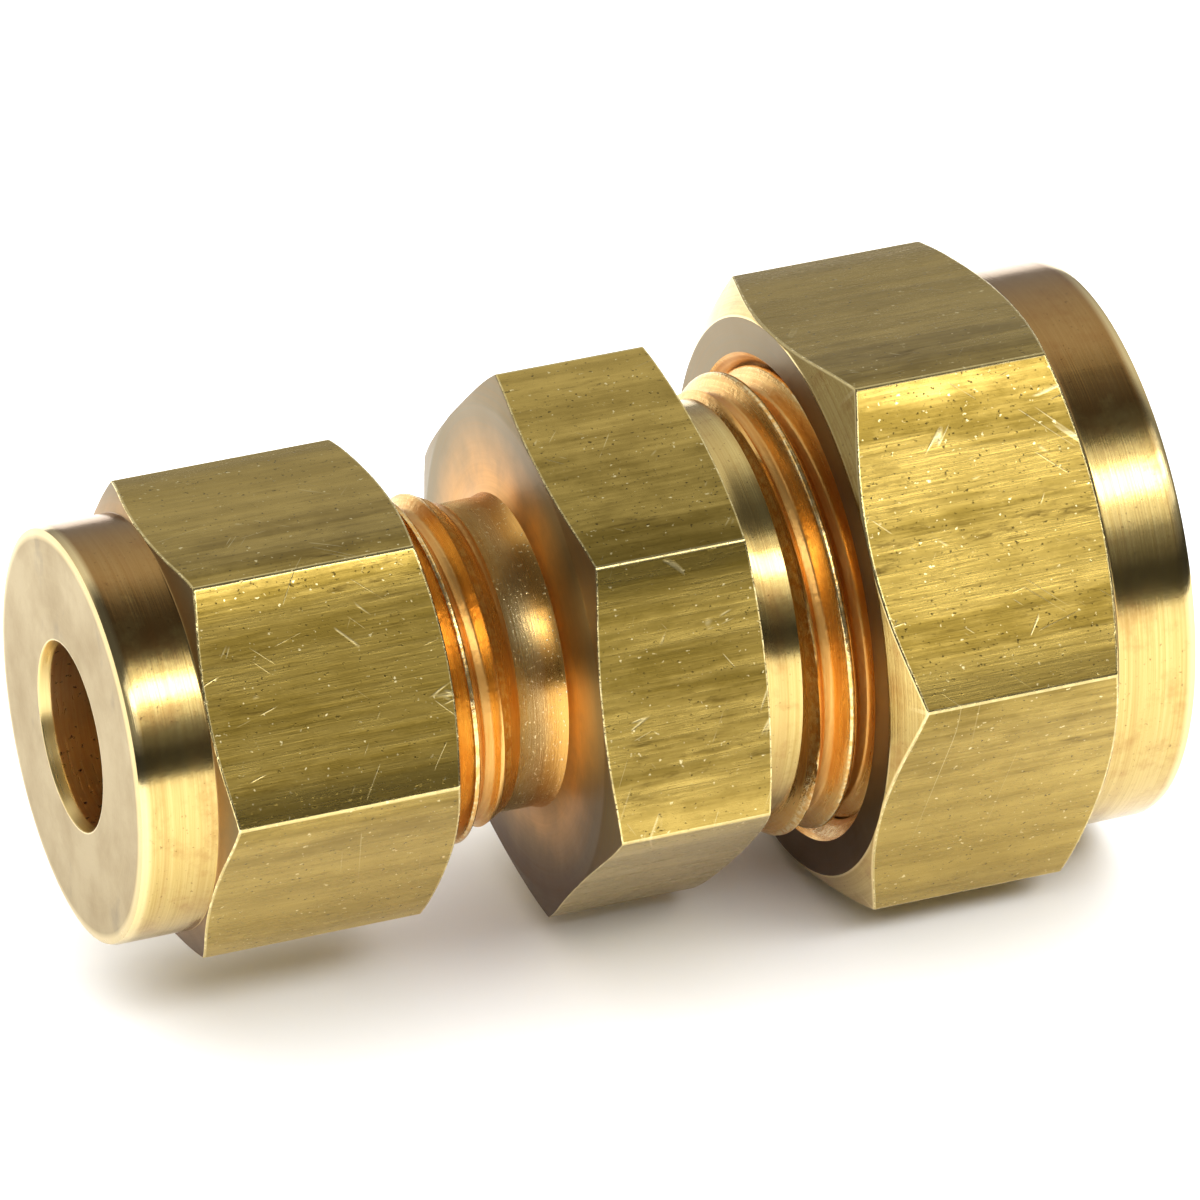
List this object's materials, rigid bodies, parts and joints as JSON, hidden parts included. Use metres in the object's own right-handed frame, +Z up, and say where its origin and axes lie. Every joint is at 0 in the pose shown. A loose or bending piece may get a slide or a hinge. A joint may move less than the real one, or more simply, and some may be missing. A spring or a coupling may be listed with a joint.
{
  "type": "compression coupling",
  "caption": "Straight reducing brass compression coupling: hexagon body with a nut and an olive at each end, joining a 6 mm tube to a 10 mm tube.",
  "frame": {"origin": "on the tube axis, half-way between the outer faces of the two nuts", "axes": "+X along the tube axis towards the large tube, +Z up, as the fitting lies on a flat of its small nut"},
  "size_m": [0.036, 0.0218, 0.0202],
  "materials": {
    "body_brass": "drawn flats, turned necks and bright threads",
    "nut_brass": "drawn flats with streaks along the bar, turned collar, faced ends",
    "olive_brass": "bright turned"
  },
  "bodies": {
    "body": {"coupling_body": "body_brass"},
    "small_olive_body": {"small_olive": "olive_brass"},
    "small_nut_body": {"small_nut": "nut_brass"},
    "large_olive_body": {"large_olive": "olive_brass"},
    "large_nut_body": {"large_nut": "nut_brass"}
  },
  "joints": [
    {"name": "small_nut_travel", "type": "slide", "parent": "body", "child": "small_olive_body", "axis": [-1, 0, 0], "range_m": [-0.00025, 0.00563]},
    {"name": "small_nut_turn", "type": "hinge", "parent": "small_olive_body", "child": "small_nut_body", "pos_m": [-0.0125, 0, 0], "axis": [-1, 0, 0], "range_deg": [-72, 1620]},
    {"name": "large_nut_travel", "type": "slide", "parent": "body", "child": "large_olive_body", "axis": [1, 0, 0], "range_m": [-0.00025, 0.00563]},
    {"name": "large_nut_turn", "type": "hinge", "parent": "large_olive_body", "child": "large_nut_body", "pos_m": [0.0125, 0, 0], "axis": [1, 0, 0], "range_deg": [-72, 1620]}
  ],
  "couplings": [
    {"joint": "small_nut_travel", "follows": "small_nut_turn", "m_per_rad": 0.00019894},
    {"joint": "large_nut_travel", "follows": "large_nut_turn", "m_per_rad": 0.00019894}
  ]
}
